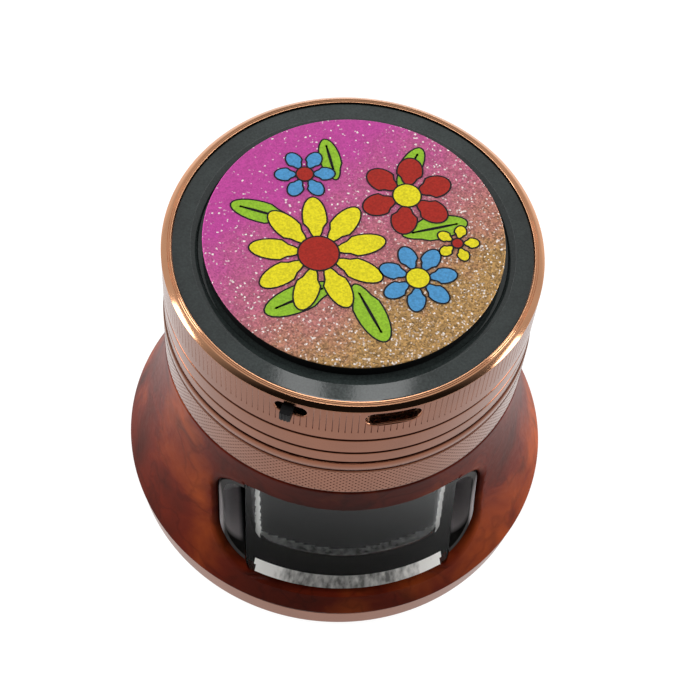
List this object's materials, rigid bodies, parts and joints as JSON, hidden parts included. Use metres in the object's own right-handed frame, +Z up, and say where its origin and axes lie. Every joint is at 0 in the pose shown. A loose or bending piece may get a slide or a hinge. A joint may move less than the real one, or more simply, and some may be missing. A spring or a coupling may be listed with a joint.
{
  "type": "hand grinder with lighted lid",
  "caption": "Round hand-turned herb grinder: toothed chamber, lighted lid with switch and charge port, flared wood-look base with a clear drawer and finger scoops.",
  "frame": {"origin": "centre of the underside, on the surface that the grinder stands on", "axes": "+Z up along the grinder's axis, -Y towards the drawer's front, +X to the right as seen from the front"},
  "size_m": [0.0786, 0.0784, 0.0681],
  "materials": {
    "rosewood_print": "glossy dark rosewood burl print",
    "rose_gold": "polished rose-gold plating",
    "inner_metal": "satin rose-gold plating",
    "tooth_metal": "machined rose-gold plating",
    "housing_grey": "satin dark warm grey",
    "clear_plastic": "clear polished acrylic",
    "black_plastic": "satin black",
    "plate_black": "fine matt texture",
    "foot_rubber": "matt rubber",
    "screw_steel": "bright zinc plating",
    "magnet_nickel": "bright nickel plating",
    "port_steel": "plain stainless",
    "glide_white": "waxy white low-friction plastic",
    "smoked_plastic": "satin smoked translucent plastic",
    "badge_print": "glossy glitter print",
    "board_green": "solder mask",
    "led_face": "yellow phosphor lens",
    "battery_foil": "matt aluminium foil pouch",
    "lead_red": "red insulation",
    "lead_black": "black insulation"
  },
  "bodies": {
    "base": {"horn_shell": "rosewood_print", "drawer_housing": "housing_grey", "thread_collar": "inner_metal", "base_ring": "rose_gold", "base_plate": "plate_black", "foot_pad": "foot_rubber", "base_screws": "screw_steel", "housing_magnet": "magnet_nickel"},
    "drawer": {"drawer": "clear_plastic", "drawer_magnet": "magnet_nickel"},
    "seal": {"chamber_seal": "foot_rubber"},
    "chamber": {"chamber_ring": "rose_gold", "tooth_plate": "rose_gold", "chamber_teeth": "tooth_metal", "chamber_magnet": "magnet_nickel"},
    "glide": {"glide_ring": "glide_white"},
    "lid": {"lid_shell": "rose_gold", "lid_post": "tooth_metal", "lid_teeth": "tooth_metal", "lid_magnet": "magnet_nickel", "light_cover": "smoked_plastic", "badge_carrier": "black_plastic", "badge_disc": "badge_print", "led_board": "board_green", "leds": "led_face", "battery": "battery_foil", "lead_red": "lead_red", "lead_black": "lead_black", "charge_port": "port_steel", "port_tongue": "black_plastic", "switch_body": "black_plastic", "board_screws": "screw_steel"},
    "switch": {"switch_knob": "black_plastic"}
  },
  "joints": [
    {"name": "drawer_slide", "type": "slide", "parent": "base", "child": "drawer", "axis": [0, -1, 0], "range_m": [0, 0.045]},
    {"name": "chamber_rise", "type": "slide", "parent": "base", "child": "seal", "axis": [0, 0, 1], "range_m": [0, 0.004]},
    {"name": "chamber_turn", "type": "hinge", "parent": "seal", "child": "chamber", "pos_m": [0, 0, 0.037], "axis": [0, 0, 1], "range_deg": [0, 720]},
    {"name": "lid_lift", "type": "slide", "parent": "chamber", "child": "glide", "axis": [0, 0, 1], "range_m": [0, 0.012]},
    {"name": "lid_turn", "type": "hinge", "parent": "glide", "child": "lid", "pos_m": [0, 0, 0.051], "axis": [0, 0, 1], "continuous": true},
    {"name": "switch_slide", "type": "slide", "parent": "lid", "child": "switch", "axis": [0.9285, -0.3714, 0], "range_m": [0, 0.0015]}
  ],
  "couplings": [
    {"joint": "chamber_rise", "follows": "chamber_turn", "m_per_rad": 0.00031831}
  ]
}
